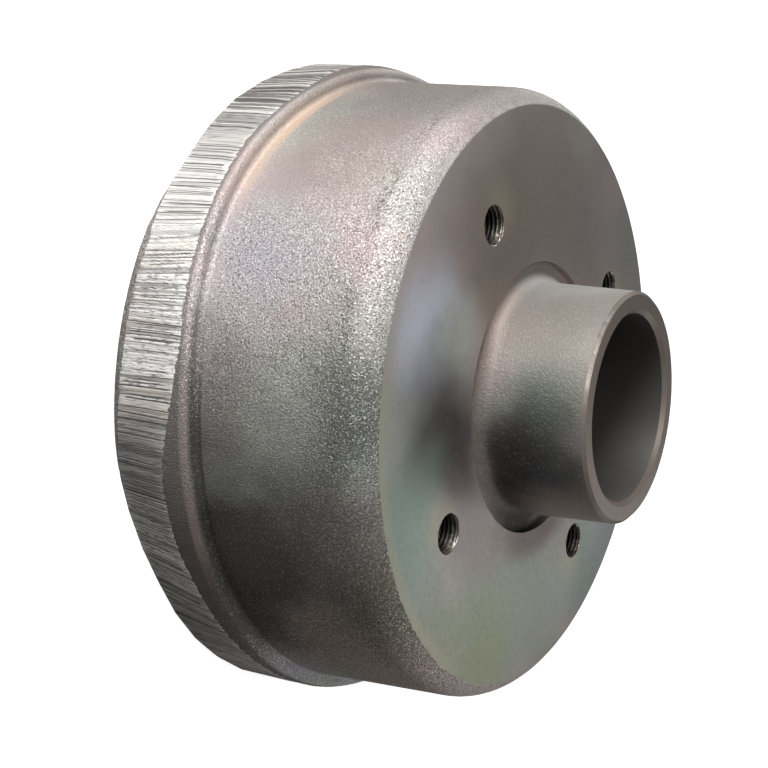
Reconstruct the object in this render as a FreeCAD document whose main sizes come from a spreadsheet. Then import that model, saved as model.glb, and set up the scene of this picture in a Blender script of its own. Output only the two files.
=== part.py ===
import FreeCAD, Part
import math
import os
import Sketcher

# Hub brake drum of a small trailer axle, one iron casting that is then machined.
# The axis is +Z. The drum stands on its open rim at height 0, with the hub nose up.
# The stud holes lie on the diagonals between X and Y.

# Driving dimensions, in millimetres, degrees and plain counts
SIZES = [
    ("friction_diameter", 160.0, "where the shoes rub"),
    ("drum_depth", 72.5, "open rim to wheel face"),
    ("drum_wall", 7.9, "iron outside the shoes at the front corner"),
    ("body_draft", 4.7, "pattern draft of the outer wall, degrees"),
    ("web_thickness", 12.0, "wheel face to drum floor"),
    ("floor_radius", 8.0, "round from drum floor to friction wall"),
    ("face_allowance", 1.65, "iron turned off the cast front"),
    ("corner_radius", 10.8, "cast round of the front corner"),
    ("rim_wall", 18.7, "iron outside the shoes at the mould's parting line"),
    ("rim_height", 23.6, "open edge to shoulder"),
    ("parting_height", 10.5, "open edge to parting line"),
    ("edge_slope", 4.5, "rim's slope from the parting line to the open edge, degrees"),
    ("shoulder_slope", 18.5, "rim's slope from the parting line to the shoulder, degrees"),
    ("shoulder_radius", 2.4, "outer round of the shoulder"),
    ("foot_radius", 1.6, "hollow round at the foot of the shoulder"),
    ("edge_radius", 5.5, "cast round of the open edge"),
    ("edge_allowance", 0.7, "iron turned off the cast open edge"),
    ("ground_edge", 0.4, "iron ground off the rim all round, at the open edge"),
    ("ground_shoulder", 3.4, "iron ground off the rim all round, at the shoulder"),
    ("mouth_step", 9.0, "friction wall to the step that clears the back plate"),
    ("mouth_depth", 6.0, "depth of that step"),
    ("mouth_chamfer", 1.0, "edge of that step"),
    ("friction_chamfer", 1.5, "lead-in to the friction wall"),
    ("hub_height", 28.8, "wheel face to nose"),
    ("cap_seat_diameter", 52.4, "bore that takes the grease cap"),
    ("cap_seat_chamfer", 1.2, "lead-in of that bore"),
    ("nose_wall", 6.0, "iron round that bore at the nose"),
    ("nose_chamfer", 0.9, "outer edge of the nose"),
    ("hub_draft", 2.5, "pattern draft of the hub tube, degrees"),
    ("hub_root_radius", 5.5, "hollow round at the foot of the hub"),
    ("recess_flat", 0.25, "that round to the edge of the cast ring the face cutter leaves"),
    ("recess_depth", 2.0, "wheel face to that ring"),
    ("bearing_diameter", 60.0, "seat of the wheel bearing"),
    ("bearing_width", 37.0, "length of that seat"),
    ("bearing_drop", 5.0, "wheel face to the stop of the bearing"),
    ("clip_depth", 1.5, "bearing seat to the bottom of the retaining ring's groove"),
    ("clip_width", 2.15, "width of that groove"),
    ("clip_land", 4.0, "iron below that groove"),
    ("bearing_chamfer", 1.5, "lead-in of the bearing seat"),
    ("boss_wall", 7.0, "iron round the bearing at the inner end"),
    ("boss_draft", 2.0, "pattern draft of the inner boss, degrees"),
    ("boss_root_radius", 6.0, "hollow round where the boss meets the floor"),
    ("boss_chamfer", 1.0, "outer edge of the boss's inner end"),
    ("stud_circle", 115.0, "diameter of the wheel bolt circle"),
    ("stud_count", 4, "wheel bolts"),
    ("stud_angle", 45.0, "first stud hole from +X, degrees"),
    ("thread_diameter", 12.0, "wheel bolt thread, fine pitch"),
    ("thread_pitch", 1.25, "its pitch"),
    ("stud_chamfer", 0.2, "edge of a stud hole"),
]

# A metric thread's core is this many pitches narrower than the thread
CORE_PITCHES = 1.0825

# Where the hand grinder bit deeper into the rim: middle and half width in degrees from +X, then
# extra depth in millimetres at the open edge and at the shoulder. It was held askew, so most
# bites cut the edge and spare the shoulder. Neighbouring bites run into each other
GROUND_BITES = [
    (12.0, 22.0, 1.1, -0.4),
    (40.0, 24.0, 2.2, -1.6),
    (66.0, 16.0, 1.2, -0.3),
    (118.0, 26.0, 2.6, -2.2),
    (148.0, 18.0, 1.4, -0.4),
    (176.0, 22.0, 1.2, -0.4),
    (198.0, 18.0, 0.4, -0.3),
    (216.0, 22.0, 1.6, -0.8),
    (236.0, 16.0, 2.8, -3.0),
    (248.0, 14.0, 2.7, -1.0),
    (296.0, 16.0, 2.8, -2.6),
    (312.0, 18.0, 4.2, -2.0),
    (330.0, 20.0, 3.0, -0.8),
    (350.0, 18.0, 1.9, 0.0),
]
GROUND_CORNERS = 48

# Where sketched lines and circles start, before their constraints place them
ROUGH_PLACE = 50.0
ROUGH_SIZE = 10.0
rough_circle = Part.Circle(FreeCAD.Vector(), FreeCAD.Vector(0, 0, 1), ROUGH_SIZE)

doc = FreeCAD.newDocument("BrakeDrum")
sheet = doc.addObject("Spreadsheet::Sheet", "Sizes")
bite_sizes = []
for number, (middle, half_width, edge_depth, shoulder_depth) in enumerate(GROUND_BITES, 1):
    bite_sizes.append(("bite_%d_edge" % number, edge_depth, "at %g degrees" % middle))
    bite_sizes.append(("bite_%d_shoulder" % number, shoulder_depth, "at %g degrees" % middle))
for row, (alias, number, note) in enumerate(SIZES + bite_sizes, 1):
    sheet.set("A%d" % row, str(number))
    sheet.set("B%d" % row, note)
    sheet.setAlias("A%d" % row, alias)
doc.recompute()

body = doc.addObject("PartDesign::Body", "BrakeDrum")
body.Label = "brake_drum"

# Radii and heights that several features share, worked out from the sheet
FACE_HEIGHT = "Sizes.drum_depth"
CAST_FRONT = "Sizes.drum_depth + Sizes.face_allowance"
NOSE_HEIGHT = "Sizes.drum_depth + Sizes.hub_height"
FLOOR_HEIGHT = "Sizes.drum_depth - Sizes.web_thickness"
RECESS_HEIGHT = "Sizes.drum_depth - Sizes.recess_depth"
CAST_EDGE = "-Sizes.edge_allowance"
FRICTION_RADIUS = "Sizes.friction_diameter / 2"
MOUTH_RADIUS = "Sizes.friction_diameter / 2 + Sizes.mouth_step"
RIM_RADIUS = "Sizes.friction_diameter / 2 + Sizes.rim_wall"
BODY_FOOT_RADIUS = (
    "Sizes.friction_diameter / 2 + Sizes.drum_wall"
    " + (Sizes.drum_depth - Sizes.corner_radius - Sizes.rim_height) * tan(Sizes.body_draft)"
)
BODY_FRONT_RADIUS = (
    "Sizes.friction_diameter / 2 + Sizes.drum_wall"
    " - (Sizes.corner_radius + Sizes.face_allowance) * tan(Sizes.body_draft)"
)
SHOULDER_RADIUS = (
    RIM_RADIUS + " - (Sizes.rim_height - Sizes.parting_height) * tan(Sizes.shoulder_slope)"
)
EDGE_RADIUS = (
    RIM_RADIUS + " - (Sizes.parting_height + Sizes.edge_allowance) * tan(Sizes.edge_slope)"
)
NOSE_RADIUS = "Sizes.cap_seat_diameter / 2 + Sizes.nose_wall"
HUB_ROOT = NOSE_RADIUS + " + (Sizes.hub_height + Sizes.recess_depth) * tan(Sizes.hub_draft)"
RECESS_RADIUS = HUB_ROOT + " + Sizes.hub_root_radius + Sizes.recess_flat"
BEARING_RADIUS = "Sizes.bearing_diameter / 2"
BEARING_TOP = "Sizes.drum_depth - Sizes.bearing_drop"
BEARING_END = "Sizes.drum_depth - Sizes.bearing_drop - Sizes.bearing_width"
CLIP_RADIUS = "Sizes.bearing_diameter / 2 + Sizes.clip_depth"
CLIP_END = BEARING_END + " - Sizes.clip_width"
BOSS_END = CLIP_END + " - Sizes.clip_land"
BOSS_END_RADIUS = "Sizes.bearing_diameter / 2 + Sizes.boss_wall"
BOSS_ROOT_RADIUS = (
    "Sizes.bearing_diameter / 2 + Sizes.boss_wall + (Sizes.bearing_drop + Sizes.bearing_width"
    " + Sizes.clip_width + Sizes.clip_land - Sizes.web_thickness) * tan(Sizes.boss_draft)"
)


def origin_part(role):
    """The body's own origin plane or axis of this role."""
    return next(part for part in body.Origin.OriginFeatures if part.Role == role)


def new_sketch(name, role):
    """An empty sketch on one of the body's origin planes."""
    sketch = body.newObject("Sketcher::SketchObject", name)
    sketch.AttachmentSupport = [(origin_part(role), "")]
    sketch.MapMode = "FlatFace"
    return sketch


def place_corner(sketch, line, name, across, up):
    """Ties the start of a line to its two coordinates. None puts it on that axis."""
    for kind, axis, expression in (("DistanceX", -2, across), ("DistanceY", -1, up)):
        if expression is None:
            sketch.addConstraint(Sketcher.Constraint("PointOnObject", line, 1, axis))
            continue
        index = sketch.addConstraint(Sketcher.Constraint(kind, -1, 1, line, 1, ROUGH_SIZE))
        label = name + ("_across" if kind == "DistanceX" else "_up")
        sketch.renameConstraint(index, label)
        sketch.setExpression("Constraints." + label, expression)


def draw_outline(sketch, corners):
    """Closed outline of straight lines. Returns the solved place of each named corner."""
    first = sketch.GeometryCount
    count = len(corners)
    centre = FreeCAD.Vector(ROUGH_PLACE, ROUGH_PLACE, 0)
    turns = [2 * math.pi * i / count for i in range(count)]
    start = [centre + FreeCAD.Vector(math.cos(turn), math.sin(turn), 0) * ROUGH_SIZE for turn in turns]
    for i in range(count):
        sketch.addGeometry(Part.LineSegment(start[i], start[(i + 1) % count]), False)
    for i in range(count):
        after = first + (i + 1) % count
        sketch.addConstraint(Sketcher.Constraint("Coincident", first + i, 2, after, 1))
    for i, (name, across, up) in enumerate(corners):
        place_corner(sketch, first + i, name, across, up)
    doc.recompute()
    return {name: sketch.getPoint(first + i, 1) for i, (name, across, up) in enumerate(corners)}


def turned(kind, name, sketch):
    """A full turn of the sketch about the drum's axis, added or cut."""
    feature = body.newObject("PartDesign::" + kind, name)
    feature.Profile = sketch
    feature.ReferenceAxis = (origin_part("Z_Axis"), [""])
    feature.Angle = 360.0
    sketch.Visibility = False
    doc.recompute()
    return feature


def ring_edges(corners):
    """Names of the edges of the body so far that lie on these corners of a section."""
    names = []
    for number, edge in enumerate(body.Tip.Shape.Edges, 1):
        if not isinstance(edge.Curve, Part.Circle):
            continue
        for corner in corners:
            same_radius = abs(edge.Curve.Radius - corner.x) < 0.001
            same_height = abs(edge.Curve.Center.z - corner.y) < 0.001
            if same_radius and same_height:
                names.append("Edge%d" % number)
    if not names:
        raise RuntimeError("No edge at %s" % corners)
    return names


def dressed(kind, name, corners, size_name):
    """A fillet or chamfer of one size along the edges at these corners."""
    base = body.Tip
    names = ring_edges(corners)
    feature = body.newObject("PartDesign::" + kind, name)
    feature.Base = (base, names)
    feature.setExpression("Radius" if kind == "Fillet" else "Size", "Sizes." + size_name)
    doc.recompute()
    return feature


# The casting's outer form: hub tube, cast front, drafted wall, shoulder and rim
casting_sketch = new_sketch("CastingSketch", "XZ_Plane")
casting = draw_outline(casting_sketch, [
    ("edge_middle", None, CAST_EDGE),
    ("open_edge", EDGE_RADIUS, CAST_EDGE),
    ("parting", RIM_RADIUS, "Sizes.parting_height"),
    ("shoulder", SHOULDER_RADIUS, "Sizes.rim_height"),
    ("shoulder_foot", BODY_FOOT_RADIUS, "Sizes.rim_height"),
    ("front_corner", BODY_FRONT_RADIUS, CAST_FRONT),
    ("recess_top", RECESS_RADIUS, CAST_FRONT),
    ("recess_foot", RECESS_RADIUS, RECESS_HEIGHT),
    ("hub_root", HUB_ROOT, RECESS_HEIGHT),
    ("nose", NOSE_RADIUS, NOSE_HEIGHT),
    ("nose_middle", None, NOSE_HEIGHT),
])
turned("Revolution", "Casting", casting_sketch)
dressed("Fillet", "FrontCorner", [casting["front_corner"]], "corner_radius")
dressed("Fillet", "Shoulder", [casting["shoulder"]], "shoulder_radius")
dressed("Fillet", "ShoulderFoot", [casting["shoulder_foot"]], "foot_radius")
dressed("Fillet", "OpenEdge", [casting["open_edge"]], "edge_radius")
dressed("Fillet", "HubRoot", [casting["hub_root"]], "hub_root_radius")

# The two turned faces. The cast ring round the hub stays below the face cutter
facing_sketch = new_sketch("FacingSketch", "XZ_Plane")
draw_outline(facing_sketch, [
    ("face_in", RECESS_RADIUS, FACE_HEIGHT),
    ("face_out", RIM_RADIUS, FACE_HEIGHT),
    ("cast_out", RIM_RADIUS, CAST_FRONT),
    ("cast_in", RECESS_RADIUS, CAST_FRONT),
])
turned("Groove", "WheelFace", facing_sketch)
edge_sketch = new_sketch("EdgeSketch", "XZ_Plane")
draw_outline(edge_sketch, [
    ("edge_in", None, CAST_EDGE),
    ("edge_out", RIM_RADIUS, CAST_EDGE),
    ("turned_out", RIM_RADIUS, None),
    ("turned_in", None, None),
])
turned("Groove", "OpenFace", edge_sketch)

# The rim's ground band: flash and high spots taken off by hand, so it is not quite round


def ground_radius(angle, end):
    """Expression for the ground rim's radius at this angle from +X and this end of the band."""
    text = RIM_RADIUS + " - Sizes.ground_" + end
    for number, (middle, half_width, edge_depth, shoulder_depth) in enumerate(GROUND_BITES, 1):
        away = abs(math.remainder(angle - middle, 360)) / half_width
        if away < 1:
            share = math.cos(away * math.pi / 2) ** 2
            text += " - %.4f * Sizes.bite_%d_%s" % (share, number, end)
    return text


def band_sketch(name, end, height):
    """What the grinder takes off at one end of the band: all between a circle and this outline."""
    sketch = new_sketch(name, "XY_Plane")
    if height:
        sketch.setExpression("AttachmentOffset.Base.z", height)
    sketch.addGeometry(rough_circle, False)
    sketch.addConstraint(Sketcher.Constraint("Coincident", 0, 3, -1, 1))
    index = sketch.addConstraint(Sketcher.Constraint("Radius", 0, ROUGH_SIZE))
    sketch.renameConstraint(index, "reach")
    sketch.setExpression("Constraints.reach", RIM_RADIUS + " + Sizes.rim_wall")
    corners = []
    for step in range(GROUND_CORNERS):
        angle = step * 360 / GROUND_CORNERS
        radius = ground_radius(angle, end)
        across = "(%s) * cos(%.4f)" % (radius, angle)
        up = "(%s) * sin(%.4f)" % (radius, angle)
        corners.append(("corner%d" % step, across, up))
    draw_outline(sketch, corners)
    sketch.Visibility = False
    return sketch


edge_outline = band_sketch("BandEdge", "edge", None)
shoulder_outline = band_sketch("BandShoulder", "shoulder", "Sizes.rim_height")
band = body.newObject("PartDesign::SubtractiveLoft", "GroundBand")
band.Profile = edge_outline
band.Sections = [shoulder_outline]
band.Ruled = True
doc.recompute()

# The hollow for the shoes, round the inner boss
hollow_sketch = new_sketch("HollowSketch", "XZ_Plane")
hollow = draw_outline(hollow_sketch, [
    ("mouth_middle", None, None),
    ("mouth_edge", MOUTH_RADIUS, None),
    ("mouth_step", MOUTH_RADIUS, "Sizes.mouth_depth"),
    ("friction_edge", FRICTION_RADIUS, "Sizes.mouth_depth"),
    ("floor_corner", FRICTION_RADIUS, FLOOR_HEIGHT),
    ("boss_root", BOSS_ROOT_RADIUS, FLOOR_HEIGHT),
    ("boss_end", BOSS_END_RADIUS, BOSS_END),
    ("boss_middle", None, BOSS_END),
])
turned("Groove", "Hollow", hollow_sketch)
dressed("Fillet", "FloorCorner", [hollow["floor_corner"]], "floor_radius")
dressed("Fillet", "BossRoot", [hollow["boss_root"]], "boss_root_radius")
dressed("Chamfer", "BossEnd", [hollow["boss_end"]], "boss_chamfer")
dressed("Chamfer", "FrictionLeadIn", [hollow["friction_edge"]], "friction_chamfer")
dressed("Chamfer", "MouthEdge", [hollow["mouth_edge"]], "mouth_chamfer")

# The bore: bearing seat with its ring groove from inside, grease cap seat from the nose
bore_sketch = new_sketch("BoreSketch", "XZ_Plane")
bore = draw_outline(bore_sketch, [
    ("bore_start", None, BOSS_END),
    ("bearing_mouth", BEARING_RADIUS, BOSS_END),
    ("clip_low", BEARING_RADIUS, CLIP_END),
    ("clip_low_out", CLIP_RADIUS, CLIP_END),
    ("clip_high_out", CLIP_RADIUS, BEARING_END),
    ("clip_high", BEARING_RADIUS, BEARING_END),
    ("bearing_stop", BEARING_RADIUS, BEARING_TOP),
    ("cap_seat_foot", "Sizes.cap_seat_diameter / 2", BEARING_TOP),
    ("cap_mouth", "Sizes.cap_seat_diameter / 2", NOSE_HEIGHT),
    ("bore_finish", None, NOSE_HEIGHT),
])
turned("Groove", "Bore", bore_sketch)
dressed("Chamfer", "BearingLeadIn", [bore["bearing_mouth"]], "bearing_chamfer")
dressed("Chamfer", "CapLeadIn", [bore["cap_mouth"]], "cap_seat_chamfer")
dressed("Chamfer", "NoseEdge", [casting["nose"]], "nose_chamfer")

# The stud holes, drilled through the web to the thread's core and slightly broken at the face
stud_sketch = new_sketch("StudSketch", "XY_Plane")
stud_sketch.setExpression("AttachmentOffset.Base.z", FACE_HEIGHT)
stud_sketch.addGeometry(rough_circle, False)
for kind, label, part in (("DistanceX", "stud_across", "cos"), ("DistanceY", "stud_up", "sin")):
    index = stud_sketch.addConstraint(Sketcher.Constraint(kind, -1, 1, 0, 3, ROUGH_SIZE))
    stud_sketch.renameConstraint(index, label)
    expression = "Sizes.stud_circle / 2 * %s(Sizes.stud_angle)" % part
    stud_sketch.setExpression("Constraints." + label, expression)
index = stud_sketch.addConstraint(Sketcher.Constraint("Diameter", 0, ROUGH_SIZE))
stud_sketch.renameConstraint(index, "stud_mark")
stud_sketch.setExpression("Constraints.stud_mark", "Sizes.thread_diameter")
doc.recompute()
CORE_DIAMETER = "Sizes.thread_diameter - %.4f * Sizes.thread_pitch" % CORE_PITCHES
stud_hole = body.newObject("PartDesign::Hole", "StudHole")
stud_hole.Profile = stud_sketch
doc.recompute()
stud_hole.DepthType = "ThroughAll"
stud_hole.setExpression("Diameter", CORE_DIAMETER)
stud_hole.HoleCutType = "Countersink"
stud_hole.HoleCutCountersinkAngle = 90.0
stud_hole.setExpression("HoleCutDiameter", CORE_DIAMETER + " + 2 * Sizes.stud_chamfer")
stud_sketch.Visibility = False
doc.recompute()
stud_holes = body.newObject("PartDesign::PolarPattern", "StudHoles")
stud_holes.Originals = [stud_hole]
stud_holes.Axis = (origin_part("Z_Axis"), [""])
stud_holes.Angle = 360.0
stud_holes.setExpression("Occurrences", "Sizes.stud_count")
body.Tip = stud_holes
doc.recompute()

# Every feature must have built, and the drum must be one sound solid
for item in doc.Objects:
    if "Invalid" in item.State or "Error" in item.State:
        raise RuntimeError("%s failed: %s" % (item.Name, item.State))
shape = body.Shape
if shape.isNull() or not shape.isValid() or len(shape.Solids) != 1:
    raise RuntimeError("The drum is not one valid solid")

os.makedirs("parts", exist_ok=True)
shape.exportStep("parts/%s.step" % body.Label)
print("%s: %.0f mm3, box %s" % (body.Label, shape.Volume, shape.optimalBoundingBox()))
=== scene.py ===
# %% [markdown]
# # A hub brake drum, dressed for its photograph
#
# The CAD frame holds the drum as it is machined: rim, wall, wheel face, hub and bores. This lesson
# adds what the casting went through: sand grain, a coarse hand-ground rim, turned faces under a thin
# film of colour, and threads in the wheel-bolt holes. One new mesh stands for the CAD node.

# %% Load the frame
import math

import bpy
import numpy as np
from mathutils import Matrix, Vector


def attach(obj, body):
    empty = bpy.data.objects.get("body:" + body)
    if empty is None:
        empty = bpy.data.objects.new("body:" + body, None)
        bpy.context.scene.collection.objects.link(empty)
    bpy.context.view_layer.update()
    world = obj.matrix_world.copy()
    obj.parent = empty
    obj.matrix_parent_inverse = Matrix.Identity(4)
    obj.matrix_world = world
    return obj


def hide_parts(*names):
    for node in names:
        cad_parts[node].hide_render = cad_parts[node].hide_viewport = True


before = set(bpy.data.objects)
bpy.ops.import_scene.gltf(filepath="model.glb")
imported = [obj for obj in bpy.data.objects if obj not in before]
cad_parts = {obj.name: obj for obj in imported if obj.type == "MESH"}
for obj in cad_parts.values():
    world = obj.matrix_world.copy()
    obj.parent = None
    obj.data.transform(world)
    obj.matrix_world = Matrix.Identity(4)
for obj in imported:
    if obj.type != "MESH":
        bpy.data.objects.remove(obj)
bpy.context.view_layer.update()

# %% [markdown]
# ## Sizes
#
# The drum is one casting, so most sizes repeat the CAD's. They are in millimetres here, because that
# is how a drum is drawn, and `MM` turns them into the metres that Blender works in. Heights count
# from the open edge upwards, as the drum stands.

# %% Sizes of the drum, in millimetres and degrees
MM = 0.001

FACE_HEIGHT = 72.5
NOSE_HEIGHT = 101.3
FRICTION_RADIUS = 80.0
DRUM_WALL = 7.9
BODY_DRAFT = math.radians(4.7)
CORNER_RADIUS = 10.8
CAST_FRONT = FACE_HEIGHT + 1.65
RIM_RADIUS = 98.7
RIM_HEIGHT = 23.6
PARTING_HEIGHT = 10.5
EDGE_SLOPE = math.radians(4.5)
SHOULDER_SLOPE = math.radians(18.5)
SHOULDER_ROUND = 2.4
FOOT_ROUND = 1.6
EDGE_ROUND = 5.5
CAST_EDGE = -0.7
MOUTH_RADIUS = 89.0
MOUTH_DEPTH = 6.0
FLOOR_HEIGHT = 60.5
FLOOR_ROUND = 8.0
CAP_SEAT_RADIUS = 26.2
CAP_CHAMFER = 1.2
NOSE_RADIUS = 32.2
NOSE_CHAMFER = 0.9
HUB_DRAFT = math.radians(2.5)
HUB_ROOT_ROUND = 5.5
RECESS_HEIGHT = 70.5
RECESS_FLAT = 0.25
BEARING_RADIUS = 30.0
BEARING_TOP = 67.5
BEARING_END = 30.5
CLIP_RADIUS = 31.5
CLIP_END = 28.35
BOSS_END = 24.35
BOSS_RADIUS = 37.0
BOSS_DRAFT = math.radians(2.0)
BOSS_ROUND = 6.0
BOSS_CHAMFER = 1.5
BOSS_EDGE = 1.0
MOUTH_CHAMFER = 1.5
OPEN_EDGE_CHAMFER = 1.0
STUD_CIRCLE = 57.5
STUD_ANGLES = [math.radians(a) for a in (45, 135, 225, 315)]
THREAD_RADIUS = 6.0
THREAD_PITCH = 1.25
CORE_RADIUS = 5.323

# The hand-ground band is a ring of flats. The bites are where the grinder went deeper or less deep:
# middle and half width in degrees from +X, then extra depth at the open edge and at the shoulder
GROUND_CORNERS = 48
GROUND_EDGE = 0.4
GROUND_SHOULDER = 3.4
GROUND_BITES = [
    (12, 22, 1.1, -0.4),
    (40, 24, 2.2, -1.6),
    (66, 16, 1.2, -0.3),
    (118, 26, 2.6, -2.2),
    (148, 18, 1.4, -0.4),
    (176, 22, 1.2, -0.4),
    (198, 18, 0.4, -0.3),
    (216, 22, 1.6, -0.8),
    (236, 16, 2.8, -3.0),
    (248, 14, 2.7, -1.0),
    (296, 16, 2.8, -2.6),
    (312, 18, 4.2, -2.0),
    (330, 20, 3.0, -0.8),
    (350, 18, 1.9, 0.0),
]
print("Cast rim %.1f mm across, nose %.1f mm up" % (2 * RIM_RADIUS, NOSE_HEIGHT))

# %% [markdown]
# ## The section
#
# Everything but the ground band and the stud holes is turned about one axis, so the drum is a section
# carried round a circle. A screw modifier could do that, but the band needs eight times as many steps
# round the rim as the rest. So the mesh is written ring by ring, and the section is a list of corners
# with rounds: each round is cut into short chords by one formula.

# %% Corners with rounds
CHORD = math.radians(9)
HAIR = 1e-9


def round_corner(before, corner, after, radius):
    """Points of an arc of this radius that blends two lines at a corner, both ends included."""
    corner = np.array(corner, float)
    to_before = np.array(before, float) - corner
    to_after = np.array(after, float) - corner
    to_before /= np.linalg.norm(to_before)
    to_after /= np.linalg.norm(to_after)
    half = math.acos(float(to_before @ to_after)) / 2
    bisector = (to_before + to_after) / np.linalg.norm(to_before + to_after)
    centre = corner + bisector * radius / math.sin(half)
    start = corner + to_before * radius / math.tan(half) - centre
    end = corner + to_after * radius / math.tan(half) - centre
    first = math.atan2(start[1], start[0])
    sweep = (math.atan2(end[1], end[0]) - first + math.pi) % (2 * math.pi) - math.pi
    steps = max(2, math.ceil(abs(sweep) / CHORD))
    angles = [first + sweep * i / steps for i in range(steps + 1)]
    return [centre + radius * np.array((math.cos(a), math.sin(a))) for a in angles]


def section(corners):
    """Outline through (radius, height, round) corners. The first and last stay sharp."""
    points = [np.array(corners[0][:2], float)]
    for before, here, after in zip(corners, corners[1:], corners[2:]):
        if here[2] > 0:
            points += round_corner(before[:2], here[:2], after[:2], here[2])
        else:
            points.append(np.array(here[:2], float))
    points.append(np.array(corners[-1][:2], float))
    return points


def clip_heights(points, low, high):
    """The outline between two heights, with new points where it crosses them."""
    inside = [low - HAIR <= point[1] <= high + HAIR for point in points]
    kept = []
    for i, (a, b) in enumerate(zip(points, points[1:])):
        span = b[1] - a[1]
        if inside[i]:
            kept.append(a)
        for level in (low, high) if span > 0 else (high, low):
            if span and 0 < (level - a[1]) / span < 1 and not (inside[i] and inside[i + 1]):
                kept.append(a + (b - a) * (level - a[1]) / span)
    if inside[-1]:
        kept.append(points[-1])
    return kept


def along(points, spacing):
    """The outline with its long straight runs divided, so that no step is over the spacing."""
    points = [np.array(point, float) for point in points]
    result = [points[0]]
    for a, b in zip(points, points[1:]):
        steps = max(1, math.ceil(np.linalg.norm(b - a) / spacing))
        result += [a + (b - a) * i / steps for i in range(1, steps + 1)]
    return result


# %% Outer section of the casting, from the open edge up to the face
wall_radius = FRICTION_RADIUS + DRUM_WALL
wall_slope = math.tan(BODY_DRAFT)
foot_radius = wall_radius + (FACE_HEIGHT - CORNER_RADIUS - RIM_HEIGHT) * wall_slope
front_radius = wall_radius - (CORNER_RADIUS + CAST_FRONT - FACE_HEIGHT) * wall_slope
edge_radius = RIM_RADIUS - (PARTING_HEIGHT - CAST_EDGE) * math.tan(EDGE_SLOPE)
shoulder_radius = RIM_RADIUS - (RIM_HEIGHT - PARTING_HEIGHT) * math.tan(SHOULDER_SLOPE)

cast_outline = section([
    (0, CAST_EDGE, 0),
    (edge_radius, CAST_EDGE, EDGE_ROUND),
    (RIM_RADIUS, PARTING_HEIGHT, 0),
    (shoulder_radius, RIM_HEIGHT, SHOULDER_ROUND),
    (foot_radius, RIM_HEIGHT, FOOT_ROUND),
    (front_radius, CAST_FRONT, CORNER_RADIUS),
    (0, CAST_FRONT, 0),
])
SHOULDER_TOP = next(i for i, p in enumerate(cast_outline) if abs(p[1] - RIM_HEIGHT) < 1e-6)
rim_outline = clip_heights(cast_outline[:SHOULDER_TOP + 1], 0, RIM_HEIGHT)
wall_outline = clip_heights(cast_outline[SHOULDER_TOP:], RIM_HEIGHT, FACE_HEIGHT)
FACE_EDGE = float(wall_outline[-1][0])
print("Rim section points:", len(rim_outline), "wall section points:", len(wall_outline))
print("The face is %.2f mm across" % (2 * FACE_EDGE))

# %% [markdown]
# ## Rings of points
#
# A surface of the drum is a stack of rings. Every ring has the same number of points as its
# neighbour, so two rings make a strip of four-sided faces. Where a fine ring of the band meets a
# coarse ring of the wall, one strip of triangles gathers eight fine steps onto each coarse one.

# %% A small mesh writer
COARSE = 360
FINE_PER_COARSE = 8
FINE = COARSE * FINE_PER_COARSE


class DrumMesh:
    """Points, faces and the finish of each face, gathered until one mesh is made of them."""

    def __init__(self):
        self.points = []
        self.faces = []
        self.finish = []
        self.count = 0

    def add_points(self, block):
        start = self.count
        self.points.append(np.asarray(block, float))
        self.count += len(block)
        return np.arange(start, self.count)

    def ring(self, radius, height, steps=COARSE):
        """A ring about the axis. Radius and height may be one number or one for each step."""
        angle = np.arange(steps) * 2 * math.pi / steps
        height = np.broadcast_to(height, steps)
        return self.add_points(np.stack([radius * np.cos(angle), radius * np.sin(angle), height], 1))

    def strip(self, low, high, finish):
        """Four-sided faces between two rings. Outward if the second ring is above on the outside."""
        after = np.roll(np.arange(len(low)), -1)
        quads = np.stack([low, low[after], high[after], high], 1)
        self.faces += quads.tolist()
        self.finish += [finish] * len(quads)

    def gather(self, fine, coarse, finish, flip=False):
        """Triangles between a fine ring and a coarse one."""
        faces = []
        ratio = len(fine) // len(coarse)
        for i in range(len(coarse)):
            for j in range(ratio):
                a = fine[i * ratio + j]
                b = fine[(i * ratio + j + 1) % len(fine)]
                here = coarse[i] if j < ratio / 2 else coarse[(i + 1) % len(coarse)]
                faces.append([a, b, here])
            middle = fine[i * ratio + ratio // 2]
            faces.append([middle, coarse[(i + 1) % len(coarse)], coarse[i]])
        if flip:
            faces = [face[::-1] for face in faces]
        self.faces += faces
        self.finish += [finish] * len(faces)

    def lathe(self, outline, finish, first=None):
        """Coarse strips through (radius, height) points. Returns the last ring."""
        last = self.ring(*outline[0]) if first is None else first
        for radius, height in outline[1:]:
            ring = self.ring(radius, height)
            self.strip(last, ring, finish)
            last = ring
        return last


drum = DrumMesh()
FINISHES = ["cast_skin", "ground_band", "turned_face", "nose_ring", "bore", "thread", "shoe_wall"]
CAST, GROUND, FACE, NOSE, BORE, THREAD, SHOE = range(len(FINISHES))
print("Steps round the drum:", COARSE, "and on the band:", FINE)

# %% [markdown]
# ## The ground band
#
# The flash at the mould's parting line was ground off by hand with a coarse disc. That leaves flats
# round the rim, hundreds of scratches that run across it, and a ragged edge where the cut runs out.
# Displacement from a texture would do for the scratches, but not for the ragged edge. So each ring of
# the band is placed by formula: the ground surface, cut by a few hundred grooves, each with its own
# place, width, depth, slant and ends.

# %% Where the grinder's surface lies
fine_angle = np.arange(FINE) * 2 * math.pi / FINE
fine_degrees = np.degrees(fine_angle)


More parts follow.
